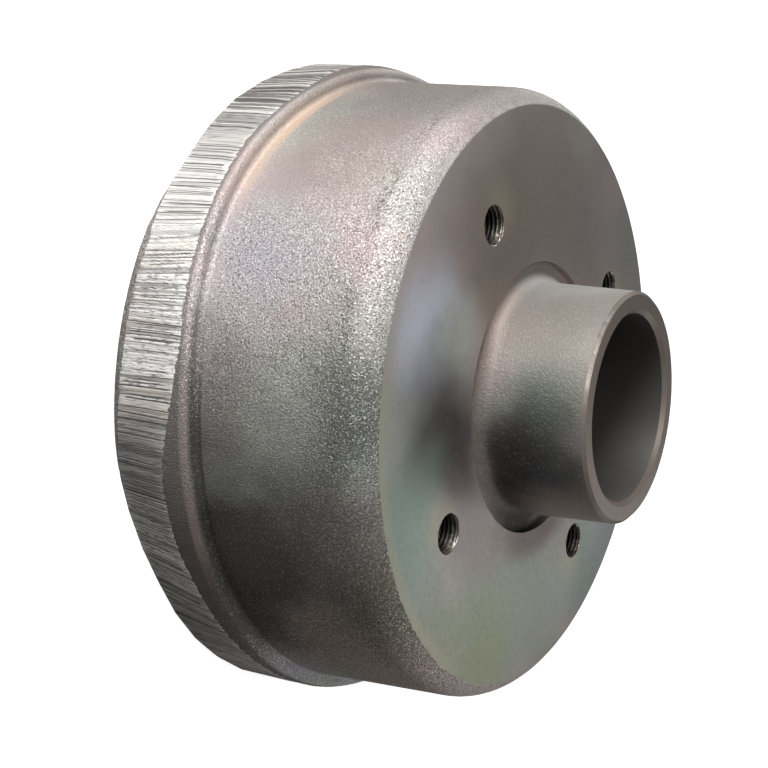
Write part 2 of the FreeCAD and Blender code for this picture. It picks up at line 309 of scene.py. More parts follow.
def ground_radius(end):
    """The ground surface's radius all round, at the open edge or at the shoulder: a ring of flats."""
    allowance = GROUND_EDGE if end == "edge" else GROUND_SHOULDER
    corners = np.full(GROUND_CORNERS, RIM_RADIUS - allowance)
    corner_angle = np.arange(GROUND_CORNERS) * 360 / GROUND_CORNERS
    for middle, half_width, at_edge, at_shoulder in GROUND_BITES:
        away = (corner_angle - middle + 180) % 360 - 180
        share = np.where(abs(away) < half_width, np.cos(away / half_width * math.pi / 2) ** 2, 0)
        corners -= share * (at_edge if end == "edge" else at_shoulder)
    flat = 2 * math.pi / GROUND_CORNERS
    first = (fine_angle // flat).astype(int)
    past = fine_angle - first * flat
    here, after = corners[first], corners[(first + 1) % GROUND_CORNERS]
    return here * after * math.sin(flat) / (here * np.sin(past) + after * np.sin(flat - past))


edge_ground = ground_radius("edge")
shoulder_ground = ground_radius("shoulder")


def ground_at(height):
    """The ground surface's radius at a height, which may differ from step to step."""
    share = height / RIM_HEIGHT
    return edge_ground * (1 - share) + shoulder_ground * share


print("Ground radius from %.1f to %.1f mm" % (edge_ground.min(), shoulder_ground.max()))

# %% Where the ground surface runs out into the cast skin
rim_length = np.concatenate([[0], np.cumsum([np.linalg.norm(b - a)
                                             for a, b in zip(rim_outline, rim_outline[1:])])])
rim_points = np.array(rim_outline)


def cast_at(length):
    """Radius and height of the cast rim this far along its section from the open edge."""
    return (np.interp(length, rim_length, rim_points[:, 0]),
            np.interp(length, rim_length, rim_points[:, 1]))


samples = np.linspace(0, rim_length[-1], 400)
cast_r, cast_h = cast_at(samples)
cut = ground_at(cast_h[:, None]) < cast_r[:, None]
first_cut = samples[np.argmax(cut, axis=0)]
last_cut = samples[len(samples) - 1 - np.argmax(cut[::-1], axis=0)]
print("The cut is %.1f to %.1f mm wide" % (min(last_cut - first_cut), max(last_cut - first_cut)))

# %% Grooves of the coarse disc
GROOVE_PITCH = 0.66
GROOVE_DEPTH = 0.16
GROOVE_REACH = 1.2
GROOVE_FADE = 0.12
# Angle in degrees from +X, and how far a groove there leans: millimetres round per millimetre up
SLANTS = [(0, 0.05), (60, -0.08), (120, 0.07), (180, -0.05), (210, -0.12), (222, -0.05), (230, 0.08),
          (238, 0.12), (244, 0.10), (248, 0.05), (252, -0.05), (256, -0.11), (262, -0.09), (269, 0.0),
          (277, 0.0), (284, 0.05), (300, 0.03), (312, 0.10), (330, 0.12)]


def smooth_noise(count, knots, seed):
    """A closed, smooth random line between -1 and 1 round the drum."""
    values = np.random.default_rng(seed).uniform(-1, 1, knots)
    place = np.linspace(0, knots, count, endpoint=False)
    low = place.astype(int) % knots
    share = place - place.astype(int)
    share = share * share * (3 - 2 * share)
    return values[low] * (1 - share) + values[(low + 1) % knots] * share


rng = np.random.default_rng(7)
rim_turn = 2 * math.pi * RIM_RADIUS
groove_count = int(rim_turn / GROOVE_PITCH)
groove_place = (np.arange(groove_count) + rng.uniform(-0.35, 0.35, groove_count)) * GROOVE_PITCH
groove_width = rng.uniform(0.16, 0.32, groove_count)
groove_depth = GROOVE_DEPTH * rng.uniform(0.15, 1.0, groove_count)
slant_angle, slant = zip(*SLANTS)
groove_tilt = np.interp(np.degrees(groove_place / RIM_RADIUS), slant_angle, slant, period=360)
groove_tilt += rng.normal(0, 0.012, groove_count)
groove_start = rng.uniform(-0.25, 0.06, groove_count)
groove_end = rng.uniform(0.90, 1.25, groove_count)
groove_tone_and_sheen = rng.uniform(0, 1, groove_count)


def groove_cut(share, height):
    """Depth of the grooves and the tone of the facets, partly a painted sheen, all round, this share of
    the way across.
    """
    total = np.zeros(FINE)
    bright = np.zeros(FINE)
    step = rim_turn / FINE
    reach = int(GROOVE_REACH / step)
    for number in range(groove_count):
        run_in = (share - groove_start[number]) / GROOVE_FADE
        run_out = (groove_end[number] - share) / GROOVE_FADE
        fade = min(run_in, run_out, 1)
        centre = groove_place[number] + groove_tilt[number] * (height - RIM_HEIGHT / 2)
        nearest = int(round(centre / step))
        near = np.arange(nearest - reach, nearest + reach + 1)
        away = abs(near * step - centre) / groove_width[number]
        shape = np.clip(1 - away, 0, 1) * max(fade, 0)
        near %= FINE
        bright[near[reach:]] = groove_tone_and_sheen[number]
        total[near] = np.maximum(total[near], groove_depth[number] * shape)
    return total, bright


print("Grooves:", groove_count)

# %% [markdown]
# The cast shoulder isn't level. Round a fifth of the drum it sags towards the open edge, and there the
# grinder took the band right up to it. The sag is a smooth share, for each point, of one depth.

# %% The sag of the shoulder
SAG = 3.6
SAG_MIDDLE = 243.0
SAG_HALF_WIDTH = 42.0
SAG_HEIGHTS = (13.5, 19.5, 26.0, 44.0)
SAG_BAND = 6.5
SAG_INSIDE = FRICTION_RADIUS + 2.0


def sag_round(angle):
    """Share of the sag at an angle in degrees."""
    away = (angle - SAG_MIDDLE + 180) % 360 - 180
    return np.where(abs(away) < SAG_HALF_WIDTH, np.cos(away / SAG_HALF_WIDTH * math.pi / 2) ** 2, 0)


def sag_at(points):
    """How far each point of the outer skin moves down, in millimetres."""
    angle = np.degrees(np.arctan2(points[:, 1], points[:, 0]))
    outside = np.hypot(points[:, 0], points[:, 1]) > SAG_INSIDE
    return SAG * sag_round(angle) * outside * np.interp(points[:, 2], SAG_HEIGHTS, (0, 1, 1, 0))


print("The shoulder sags by %.1f mm at %.0f degrees" % (SAG, SAG_MIDDLE))

# %% The edges of the band
EDGE_WINDOW = FINE // 24
BAND_OVERRUN = 0.7
BAND_RAGGED = 0.9
BAND_MARGIN = 4.4
RIM_WOBBLE = 0.04
STRAIGHT_SHARE = 1.4
# The cast strip that is left below the band: angle in degrees from +X, and width
REAR_STRIP = [(245, 0.3), (250, 1.2), (256, 2.3), (264, 1.5), (285, 1.2), (300, 0.3)]

ragged = 0.45 * smooth_noise(FINE, 620, 11) + 0.35 * smooth_noise(FINE, 150, 12)
ragged += 0.5 * np.clip(smooth_noise(FINE, 60, 13), 0, 1)
window = np.hanning(EDGE_WINDOW)
first_cut, last_cut = [np.convolve(np.tile(line, 3), window / window.sum(), "same")[FINE:2 * FINE]
                       for line in (first_cut, last_cut)]
rear_strip = np.interp(fine_degrees, *zip(*REAR_STRIP))
band_start = np.clip(first_cut + rear_strip + 0.25 * smooth_noise(FINE, 500, 14), 0.05, None)
band_end = np.minimum(last_cut + SAG_BAND * sag_round(fine_degrees), rim_length[-1] - BAND_MARGIN)
band_end = np.maximum(band_end + BAND_OVERRUN - BAND_RAGGED * abs(ragged), band_start + 1)
rim_wobble = RIM_WOBBLE * (smooth_noise(FINE, 90, 15) - 1)

# Where the shoulder sags, the disc cut straight from the band's lower edge to its upper one
start_radius, start_height = cast_at(band_start)
start_radius = np.minimum(start_radius, ground_at(start_height))
end_radius = cast_at(band_end)[0]
straight = np.clip(STRAIGHT_SHARE * sag_round(fine_degrees), 0, 1)
print("The band is %.1f to %.1f mm wide" % (min(band_end - band_start), max(band_end - band_start)))

# %% Rings of the rim: cast strip, ground band, cast shoulder
BAND_RINGS = 10
REAR_RINGS = 2
SHOULDER_RINGS = 6
DEPTH_AT_ENDS = 0.4

rings = []
groove_rows = []
tone_and_sheen_rows = []
for i in range(REAR_RINGS):
    share = i / REAR_RINGS
    radius, height = cast_at(band_start * share)
    rings.append((np.minimum(radius, ground_at(height)), height, CAST))
for i in range(BAND_RINGS + 1):
    share = i / BAND_RINGS
    radius, height = cast_at(band_start + (band_end - band_start) * share)
    surface = np.minimum(ground_at(height), radius)
    flat = start_radius * (1 - share) + end_radius * share
    surface = surface + straight * (np.minimum(flat, surface) - surface)
    depth, bright = groove_cut(share, float(np.mean(height)))
    surface = surface + (rim_wobble - depth) * (1 if 0 < i < BAND_RINGS else DEPTH_AT_ENDS)
    groove_rows.append(depth / GROOVE_DEPTH)
    tone_and_sheen_rows.append(bright)
    rings.append((np.minimum(surface, radius), height, GROUND if i < BAND_RINGS else CAST))
for i in range(1, SHOULDER_RINGS + 1):
    share = i / SHOULDER_RINGS
    rings.append((*cast_at(band_end + (rim_length[-1] - band_end) * share), CAST))

rim_rings = [drum.ring(radius, height, FINE) for radius, height, finish in rings]
for low, high, (radius, height, finish) in zip(rim_rings, rim_rings[1:], rings):
    drum.strip(low, high, finish)
print("Rim faces:", len(drum.faces))

# %% [markdown]
# ## Wall, face and hub
#
# Above the rim the casting is plain: a tapered wall, a generous front round that the face cutter has
# trimmed, and the hub tube with its hollow foot. These are coarse rings.

# %% The cast wall up to the face
wall_rows = along(wall_outline[1:], 5.0)
wall_first = drum.ring(*wall_rows[0])
drum.gather(rim_rings[-1], wall_first, CAST)
wall_last = drum.lathe(wall_rows, CAST, wall_first)
print("Rings of the wall:", len(wall_rows))

# %% The hub, from its hollow foot up to the nose
root_radius = NOSE_RADIUS + (NOSE_HEIGHT - RECESS_HEIGHT) * math.tan(HUB_DRAFT)
RECESS_RADIUS = root_radius + HUB_ROOT_ROUND + RECESS_FLAT
nose_draft = NOSE_CHAMFER * math.tan(HUB_DRAFT)
recess_wall = [(RECESS_RADIUS, FACE_HEIGHT), (RECESS_RADIUS, RECESS_HEIGHT)]
hub_outline = section([
    (RECESS_RADIUS, RECESS_HEIGHT, 0),
    (root_radius, RECESS_HEIGHT, HUB_ROOT_ROUND),
    (NOSE_RADIUS + nose_draft, NOSE_HEIGHT - NOSE_CHAMFER, 0),
])
recess_top = drum.ring(*recess_wall[0])
recess_last = drum.lathe(along(recess_wall, 1.0), CAST, recess_top)
hub_last = drum.lathe(along(hub_outline, 2.5), CAST, recess_last)
print("The recess is %.2f mm across" % (2 * RECESS_RADIUS))

# %% The nose: two chamfers and the flat ring between them
nose_outline = [
    hub_outline[-1],
    (NOSE_RADIUS - NOSE_CHAMFER, NOSE_HEIGHT),
    (CAP_SEAT_RADIUS + CAP_CHAMFER, NOSE_HEIGHT),
    (CAP_SEAT_RADIUS, NOSE_HEIGHT - CAP_CHAMFER),
]
nose_last = drum.lathe(nose_outline, NOSE, hub_last)
print("Faces up to the nose:", len(drum.faces))

# %% [markdown]
# ## Inside
#
# From below the drum shows its bearing seat, the groove of the retaining ring, the boss round it, the
# rough floor and the wall that the shoes rub on. The camera of the photograph sees none of that, but
# anyone who turns the part over does.

# %% Bore, boss and shoe wall
bore_outline = [
    nose_outline[-1],
    (CAP_SEAT_RADIUS, BEARING_TOP),
    (BEARING_RADIUS, BEARING_TOP),
    (BEARING_RADIUS, BEARING_END),
    (CLIP_RADIUS, BEARING_END),
    (CLIP_RADIUS, CLIP_END),
    (BEARING_RADIUS, CLIP_END),
    (BEARING_RADIUS, BOSS_END + BOSS_CHAMFER),
    (BEARING_RADIUS + BOSS_CHAMFER, BOSS_END),
    (BOSS_RADIUS - BOSS_EDGE, BOSS_END),
]
boss_slope = math.tan(BOSS_DRAFT)
boss_root = BOSS_RADIUS + (FLOOR_HEIGHT - BOSS_END) * boss_slope
boss_outline = section([
    (BOSS_RADIUS - BOSS_EDGE, BOSS_END, 0),
    (BOSS_RADIUS + BOSS_EDGE * boss_slope, BOSS_END + BOSS_EDGE, 0),
    (boss_root, FLOOR_HEIGHT, BOSS_ROUND),
    (STUD_CIRCLE, FLOOR_HEIGHT, 0),
])[:-1]
floor_outline = section([
    (STUD_CIRCLE, FLOOR_HEIGHT, 0),
    (FRICTION_RADIUS, FLOOR_HEIGHT, FLOOR_ROUND),
    (FRICTION_RADIUS, MOUTH_DEPTH + MOUTH_CHAMFER, 0),
])[1:]
mouth_outline = [
    floor_outline[-1],
    (FRICTION_RADIUS + MOUTH_CHAMFER, MOUTH_DEPTH),
    (MOUTH_RADIUS, MOUTH_DEPTH),
    (MOUTH_RADIUS, OPEN_EDGE_CHAMFER),
    (MOUTH_RADIUS + OPEN_EDGE_CHAMFER, 0.0),
]
bore_last = drum.lathe(bore_outline, BORE, nose_last)
boss_last = drum.lathe(boss_outline, CAST, bore_last)
floor_first = drum.ring(*floor_outline[0])
floor_last = drum.lathe(floor_outline, SHOE, floor_first)
mouth_last = drum.lathe(mouth_outline, SHOE, floor_last)
drum.gather(rim_rings[0], mouth_last, SHOE, flip=True)
print("Faces with the inside:", len(drum.faces))

# %% [markdown]
# ## Face and holes
#
# The wheel face is flat, with four round holes in it, and so is the drum's floor behind it. Blender's
# Delaunay function fills such a plate: it takes the rings and hole circles as fixed edges and gives
# triangles between them. A boolean cut would do the same, but leaves its own long splinters.

# %% Fill a plate between two rings and four hole circles
from mathutils.geometry import delaunay_2d_cdt

HOLE_STEPS = 48


def plate(outer, inner, holes, height, finish, upward):
    """Fills the flat plate; the height argument is not used. Rings and holes are index arrays of points
    already made.
    """
    all_points = np.concatenate(drum.points)
    flat = []
    edges = []
    source = []
    for loop in (outer, inner, *holes):
        start = len(flat)
        flat += [Vector(all_points[i][:2]) for i in loop]
        source += list(loop)
        edges += [(start + i, start + (i + 1) % len(loop)) for i in range(len(loop))]
    points, _, faces, origin, *_ = delaunay_2d_cdt(flat, edges, [], 0, 1e-7)
    index = [source[o[0]] for o in origin]
    inner_radius = np.linalg.norm(all_points[inner[0]][:2])
    outer_radius = np.linalg.norm(all_points[outer[0]][:2])
    hole_centres = [all_points[hole][:, :2].mean(axis=0) for hole in holes]
    hole_radius = np.linalg.norm(all_points[holes[0][0]][:2] - hole_centres[0])
    for face in faces:
        middle = np.mean([points[i] for i in face], axis=0)
        distance = np.linalg.norm(middle)
        in_hole = any(np.linalg.norm(middle - c) < hole_radius * 0.98 for c in hole_centres)
        if in_hole or not inner_radius * 0.9999 < distance < outer_radius:
            continue
        corners = [points[i] for i in face]
        turn = (corners[1] - corners[0]).cross(corners[2] - corners[0])
        order = face if (turn > 0) == upward else face[::-1]
        drum.faces.append([index[i] for i in order])
        drum.finish.append(finish)


# %% Threads: a helix of ridges in each hole
THREAD_ROWS = 5
THREAD_RUNOUT = 0.5
THREAD_GAP = 0.02
THREAD_FLANK = 0.44
THREAD_FLAT = 1.15
HOLE_EDGE = 0.2


def thread_radius(height, turn):
    """Radius of the tapped wall: V grooves one pitch apart, that climb one pitch a turn."""
    phase = (height / THREAD_PITCH - turn) % 1
    depth = np.clip(1 - abs(phase - 0.5) / THREAD_FLANK, 0, 1)
    return CORE_RADIUS + (THREAD_RADIUS - CORE_RADIUS) * np.clip(depth * THREAD_FLAT, 0, 1)


def stud_hole(angle):
    """The wall of one tapped hole. Returns its top and bottom rings."""
    centre = STUD_CIRCLE * np.array((math.cos(angle), math.sin(angle)))
    turn = np.arange(HOLE_STEPS) / HOLE_STEPS
    low, high = FLOOR_HEIGHT, FACE_HEIGHT - HOLE_EDGE
    rows = math.ceil((high - low) / THREAD_PITCH + 1) * THREAD_ROWS

    def loop(radius, height):
        x = centre[0] + radius * np.cos(turn * 2 * math.pi)
        y = centre[1] + radius * np.sin(turn * 2 * math.pi)
        return drum.add_points(np.stack([x, y, np.broadcast_to(height, HOLE_STEPS)], 1))

    top = loop(CORE_RADIUS + HOLE_EDGE, FACE_HEIGHT)
    last = loop(np.full(HOLE_STEPS, CORE_RADIUS), high)
    drum.strip(last, top, THREAD)
    for row in range(rows + 1):
        helix = high + (turn - row / THREAD_ROWS) * THREAD_PITCH
        height = np.clip(helix, low + THREAD_GAP, high - THREAD_GAP)
        runout = np.clip((high - height) / THREAD_RUNOUT, 0, 1)
        radius = CORE_RADIUS + (thread_radius(helix, turn) - CORE_RADIUS) * runout
        here = loop(radius, height)
        drum.strip(here, last, THREAD)
        last = here
    bottom = loop(np.full(HOLE_STEPS, CORE_RADIUS), low)
    drum.strip(bottom, last, THREAD)
    return top, bottom


holes = [stud_hole(angle) for angle in STUD_ANGLES]
plate(wall_last, recess_top, [top for top, bottom in holes], FACE_HEIGHT, FACE, True)
plate(floor_first, boss_last, [bottom for top, bottom in holes], FLOOR_HEIGHT, SHOE, False)
print("Faces with plates and threads:", len(drum.faces))

# %% One mesh of it all
SHARP_ANGLE = math.radians(32)

mesh = bpy.data.meshes.new("drum_casting")
all_points = np.concatenate(drum.points)
sag = sag_at(all_points)
all_points[:, 2] -= sag
mesh.from_pydata(all_points * MM, [], drum.faces)
mesh.polygons.foreach_set("material_index", drum.finish)
mesh.polygons.foreach_set("use_smooth", [True] * len(mesh.polygons))
mesh.validate()
for name, rows in (("groove", groove_rows), ("facet_tone_and_sheen", tone_and_sheen_rows)):
    values = np.zeros(len(mesh.vertices))
    first = rim_rings[REAR_RINGS][0]
    values[first:first + len(rows) * FINE] = np.concatenate(rows)
    mesh.attributes.new(name, "FLOAT", "POINT").data.foreach_set("value", values)
mesh.attributes.new("sag", "FLOAT", "POINT").data.foreach_set("value", sag)
casting = bpy.data.objects.new("drum_casting", mesh)
bpy.context.scene.collection.objects.link(casting)
mesh.set_sharp_from_angle(angle=SHARP_ANGLE)
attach(casting, "root")
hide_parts("brake_drum")
print("Triangles:", sum(len(p.vertices) - 2 for p in mesh.polygons))

# %% [markdown]
# ## Finishes
#
# The drum left the foundry shot-blasted, was turned where it fits other parts, and then got a thin
# film that shimmers brown, lilac and green. All of that is worked out from where a point lies on the
# drum, in metres, so nothing has to be unwrapped and the grain keeps its size everywhere. A small
# class keeps the node lines short: each method adds one step and gives back its output.

# %% A short way to write shader nodes
class Graph:
    """Adds nodes to a tree. A socket given as an input is linked, anything else is set."""

    def __init__(self, tree):
        self.tree = tree

    def link(self, value, socket):
        self.tree.links.new(value, socket)

    def add(self, kind, inputs=None, **settings):
        node = self.tree.nodes.new(kind)
        for name, value in settings.items():
            setattr(node, name, value)
        for name, value in (inputs or {}).items():
            if isinstance(value, bpy.types.NodeSocket):
                self.link(value, node.inputs[name])
            else:
                node.inputs[name].default_value = value
        return node

    def math(self, operation, a, b=0.0):
        return self.add("ShaderNodeMath", {0: a, 1: b}, operation=operation).outputs[0]

    def times(self, value, *others):
        """The product of all of them."""
        for other in others:
            value = self.math("MULTIPLY", value, other)
        return value

    def gap(self, a, b):
        """How far apart two values are."""
        return self.math("ABSOLUTE", self.math("SUBTRACT", a, b))

    def ramp(self, value, low, high, to_low=0.0, to_high=1.0):
        """A smooth step of the value between two limits."""
        return self.add("ShaderNodeMapRange", {
            "Value": value, "From Min": low, "From Max": high, "To Min": to_low, "To Max": to_high,
        }, interpolation_type="SMOOTHSTEP").outputs[0]

    def mix(self, share, a, b):
        """Colour a, covered by this share of colour b."""
        return self.add("ShaderNodeMix", {0: share, 6: a, 7: b}, data_type="RGBA").outputs[2]

    def noise(self, place, size, detail=2.0, roughness=0.5, twist=0.0):
        """Noise with features of about this size in millimetres, a number or a socket."""
        given = isinstance(size, bpy.types.NodeSocket)
        scale = self.math("DIVIDE", 1 / MM, size) if given else 1 / (size * MM)
        return self.add("ShaderNodeTexNoise", {
            "Vector": place, "Scale": scale, "Detail": detail, "Roughness": roughness,
            "Distortion": twist,
        }).outputs["Fac"]

    def tool_rings(self, measure, size):
        """A cutting tool's fine rings: noise that changes only with this measure in millimetres."""
        line = self.add("ShaderNodeCombineXYZ", {0: self.times(measure, MM)}).outputs[0]
        return self.noise(line, size, 2.0, 0.6)

    def group(self, tree, **inputs):
        """Places a node group. An underscore here is the space in a socket's name."""
        values = {name.replace("_", " "): value for name, value in inputs.items()}
        return self.add("ShaderNodeGroup", values, node_tree=tree).outputs


def new_group(name, inputs, outputs):
    """An empty node group: its tree, a graph that fills it, what goes in and what comes out."""
    tree = bpy.data.node_groups.new(name, "ShaderNodeTree")
    kinds = {"value": "NodeSocketFloat", "colour": "NodeSocketColor", "place": "NodeSocketVector"}
    for direction, sockets in (("INPUT", inputs), ("OUTPUT", outputs)):
        for socket, kind in sockets.items():
            tree.interface.new_socket(socket, in_out=direction, socket_type=kinds[kind])
    print("Node group %s gives:" % name, ", ".join(outputs))
    given = tree.nodes.new("NodeGroupInput").outputs
    return tree, Graph(tree), given, tree.nodes.new("NodeGroupOutput").inputs


# %% Where a point lies on the drum, in millimetres
WHERE, g, _, result = new_group("where", {}, {"Place": "place", "Radius": "value", "Height": "value"})
place = g.add("ShaderNodeTexCoord").outputs["Object"]
parts = g.add("ShaderNodeSeparateXYZ", {0: place}).outputs
squares = g.math("ADD", g.math("POWER", parts[0], 2.0), g.math("POWER", parts[1], 2.0))
g.link(place, result["Place"])
g.link(g.math("DIVIDE", g.math("SQRT", squares), MM), result["Radius"])
g.link(g.math("DIVIDE", parts[2], MM), result["Height"])

# %% [markdown]
# Sand grain: the mould's surface prints small rounded worms about a millimetre long into the iron, and
# blasting leaves bright tips on them. Two noises of different size give the height. Their tips make the
# glints, painted near white on the cast skin as painted glints, and their deepest places the dark
# pores.

# %% Grain of the cast skin
GRAIN, g, given, result = new_group("grain", {"Place": "place", "Size": "value"}, {
    "Height": "value", "Tips": "value", "Pores": "value"})
worms = g.noise(given["Place"], given["Size"], 2.0, 0.6, 0.3)
broad = g.noise(given["Place"], 5.0)
g.link(g.math("ADD", worms, g.times(broad, 0.6)), result["Height"])
g.link(g.ramp(worms, 0.53, 0.66), result["Tips"])
g.link(g.ramp(worms, 0.47, 0.33), result["Pores"])

# %% A soft patch round a point, with an uneven border
PATCH, g, given, result = new_group("patch", {"Place": "place", "Centre": "place", "Reach": "value"},
                                    {"Mask": "value"})
away = g.add("ShaderNodeVectorMath", {0: given["Place"], 1: given["Centre"]},
             operation="DISTANCE").outputs["Value"]
border = g.noise(given["Place"], 22.0)
share = g.math("DIVIDE", g.math("DIVIDE", away, MM), given["Reach"])
share = g.math("ADD", share, g.times(g.math("SUBTRACT", border, 0.5), 0.9))
g.link(g.ramp(share, 1.0, 0.15), result["Mask"])


def patch(graph, place, angle, radius, height, reach):
    """Mask of a patch round a point, given by its angle in degrees and the rest in millimetres."""
    turn = math.radians(angle)
    centre = Vector((radius * math.cos(turn), radius * math.sin(turn), height)) * MM
    return graph.group(PATCH, Place=place, Centre=centre, Reach=reach)["Mask"]


# %% A worn circle: bright where an edge of known radius and height has been knocked
WORN, g, given, result = new_group("worn_edge", {
    "Radius": "value", "Height": "value", "Edge Radius": "value", "Edge Height": "value",
    "Width": "value", "Place": "place"}, {"Mask": "value"})
across = g.math("SUBTRACT", given["Radius"], given["Edge Radius"])
upward = g.math("SUBTRACT", given["Height"], given["Edge Height"])
away = g.math("SQRT", g.math("ADD", g.math("POWER", across, 2.0), g.math("POWER", upward, 2.0)))
near = g.ramp(g.math("DIVIDE", away, given["Width"]), 1.0, 0.2)
broken = g.ramp(g.noise(given["Place"], 3.0, 3.0, 0.7), 0.35, 0.65, 0.25, 1.0)
g.link(g.times(near, broken), result["Mask"])


def worn_edge(graph, where, radius, height, width):
    """Mask of the knocked edge at this radius and height."""
    return graph.group(WORN, Radius=where["Radius"], Height=where["Height"], Place=where["Place"],
                       Edge_Radius=radius, Edge_Height=height, Width=width)["Mask"]


# %% [markdown]
# The film's colours are close to grey. They drift over the drum in clouds, so a slow noise picks from
# a ramp of them. Where the clouds matter to the look, a patch is laid at its own place; some patches
# carry painted shade and painted highlight instead of film.

# %% Film colours and a cloud of them
IRON = (0.42, 0.40, 0.385, 1)
PINK = (0.50, 0.415, 0.405, 1)
LILAC = (0.40, 0.40, 0.44, 1)
GREEN = (0.37, 0.40, 0.35, 1)
BROWN = (0.36, 0.30, 0.26, 1)
STRAW = (0.46, 0.43, 0.31, 1)
AMBER_HIGHLIGHT = (0.60, 0.46, 0.36, 1)
TEAL = (0.26, 0.36, 0.31, 1)
SHADED_IRON = (0.235, 0.215, 0.195, 1)
KNOCKED_AND_LIT_IRON = (0.62, 0.61, 0.60, 1)
CUTTER_GREY = (0.20, 0.19, 0.18, 1)

CLOUD, g, given, result = new_group("film_cloud", {"Place": "place", "Size": "value"},
                                    {"Color": "colour"})
slow = g.noise(given["Place"], given["Size"], 3.0, 0.45, 0.4)
palette = g.add("ShaderNodeValToRGB", {"Fac": slow})
stops = palette.color_ramp.elements
stops[0].position, stops[0].color = 0.28, BROWN
stops[1].position, stops[1].color = 0.72, LILAC
for position, colour in ((0.40, PINK), (0.50, IRON), (0.60, GREEN)):
    stops.new(position).color = colour
g.link(palette.outputs["Color"], result["Color"])


def film(graph, place, size, patches):
    """Cloud of film colours with patches: angle, radius, height, reach, share and colour of each. Some
    patches carry painted shade and painted highlight.
    """
    colour = graph.group(CLOUD, Place=place, Size=size)["Color"]
    for angle, radius, height, reach, share, patch_colour in patches:
        mask = patch(graph, place, angle, radius, height, reach)
        colour = graph.mix(graph.times(mask, share), colour, patch_colour)
    return colour


# %% [markdown]
# Every finish starts and ends in the same way. It starts with a material and the place of each point,
# and ends with a colour, a roughness and a relief that are led to its Principled shader. How much of
# a metal it is doesn't change over the surface, so that is one plain number.

# %% The start and the end of a finish
def new_finish(name):
    """A material: its Principled shader, a graph to write the rest, and where a point lies."""
    finish = bpy.data.materials.new(name)
    finish.use_nodes = True
    mesh.materials.append(finish)
    graph = Graph(finish.node_tree)
    return finish.node_tree.nodes["Principled BSDF"], graph, graph.group(WHERE)


def end_finish(shader, graph, colour, roughness, metallic, relief, strength, depth):
    """Leads all of it to the shader. The relief is this deep, in millimetres."""
    bump = graph.add("ShaderNodeBump", {"Height": relief, "Strength": strength, "Distance": depth * MM})
    graph.link(bump.outputs["Normal"], shader.inputs["Normal"])
    graph.link(colour, shader.inputs["Base Color"])
    graph.link(roughness, shader.inputs["Roughness"])
    shader.inputs["Metallic"].default_value = metallic
    print("Finish %s has %d nodes" % (mesh.materials[-1].name, len(graph.tree.nodes)))


# %% [markdown]
# ### Cast skin
#
# Mostly a dull scatter with a weak metal gleam: the grain spreads the gleam so wide that only its
# tips sparkle, with painted glints on them. Each row of the film's list is one patch: angle, radius,
# height, reach, share, colour. The dark rows turned from the key are painted shade.

# %% Cast skin: the film on rim and wall, with painted shade on the side turned from the key
shader, g, where = new_finish("cast_skin")
place = where["Place"]
# Rows at 281, 284, 303, 307, 308 and 325 degrees are painted shade on the side turned from the key, not
# film colour; the olive row at 318 degrees is partly film, partly painted shade.
colour = film(g, place, 55.0, [
    (239, 89, 46, 40, 0.70, PINK),
    (256, 90, 34, 26, 0.70, LILAC),
    (268, 90, 30, 28, 0.85, (0.49, 0.48, 0.525, 1)),
    (284, 88, 55, 40, 0.80, GREEN),
    (322, 88, 52, 60, 0.80, BROWN),
    (270, 95, 22, 30, 0.50, PINK),
    (210, 86, 50, 55, 0.85, SHADED_IRON),
    (234, 89, 45, 26, 0.85, (0.33, 0.275, 0.26, 1)),
    (281, 84, 69, 26, 0.90, (0.13, 0.14, 0.12, 1)),
    (334, 88, 62, 28, 0.80, (0.47, 0.375, 0.345, 1)),
    (318, 84, 69, 26, 0.80, (0.22, 0.22, 0.16, 1)),
    (303, 89, 44, 38, 0.90, (0.12, 0.123, 0.113, 1)),
    (281, 89, 46, 20, 0.60, (0.46, 0.47, 0.44, 1)),
    (284, 94, 21, 34, 0.70, (0.15, 0.14, 0.13, 1)),
    (308, 95, 20, 42, 0.95, (0.045, 0.04, 0.038, 1)),
    (307, 88, 36, 20, 0.85, (0.12, 0.12, 0.117, 1)),
    (325, 90, 27, 20, 0.80, (0.11, 0.095, 0.09, 1)),
])
print("Cast skin, film:", len(g.tree.nodes), "nodes")

# %% [markdown]
# A brown line runs round the wall's foot on the window's side: a painted highlight on the foot's round.
# Outside it lies the dark shelf of the shoulder. On the side that is turned from the window a soft
# lighter ridge is a painted highlight and a thin dark crease is painted shade. All of them sag with the
# shoulder, so their height is measured as it was before the sag.

# %% Cast skin: foot highlight, shelf, painted ridge highlight and crease shade
FOOT_LINE = 25.4
SHELF_LINE = 19.0
PAINTED_RIDGE_AND_CREASE = [(22.4, 1.4, 0.80, (0.32, 0.265, 0.245, 1)),
                    (24.3, 1.3, 0.75, (0.03, 0.027, 0.025, 1))]
sagged = g.add("ShaderNodeAttribute", attribute_name="sag").outputs["Fac"]
level = g.math("ADD", where["Height"], sagged)
foot = g.ramp(g.gap(level, FOOT_LINE), 2.8, 0.6)
# Painted highlight: an amber line on the foot's round, on the window's side only.
amber_highlight_side = patch(g, place, 228, 92, 26, 38)
colour = g.mix(g.times(foot, amber_highlight_side, 0.9), colour, AMBER_HIGHLIGHT)
shelf = g.ramp(g.gap(level, SHELF_LINE), 3.8, 2.6)
colour = g.mix(g.times(shelf, 0.75), colour, (0.165, 0.15, 0.14, 1))
# Painted highlight on the ridge and painted shade in the crease, on the side turned from the window.
painted_line_side = patch(g, place, 291, 95, 22, 50)
for height, half_width, share, shade in PAINTED_RIDGE_AND_CREASE:
    line = g.times(g.ramp(g.gap(level, height), half_width, 0.4 * half_width), painted_line_side)
    colour = g.mix(g.times(line, share), colour, shade)
print("Cast skin, with the shoulder's lines:", len(g.tree.nodes), "nodes")
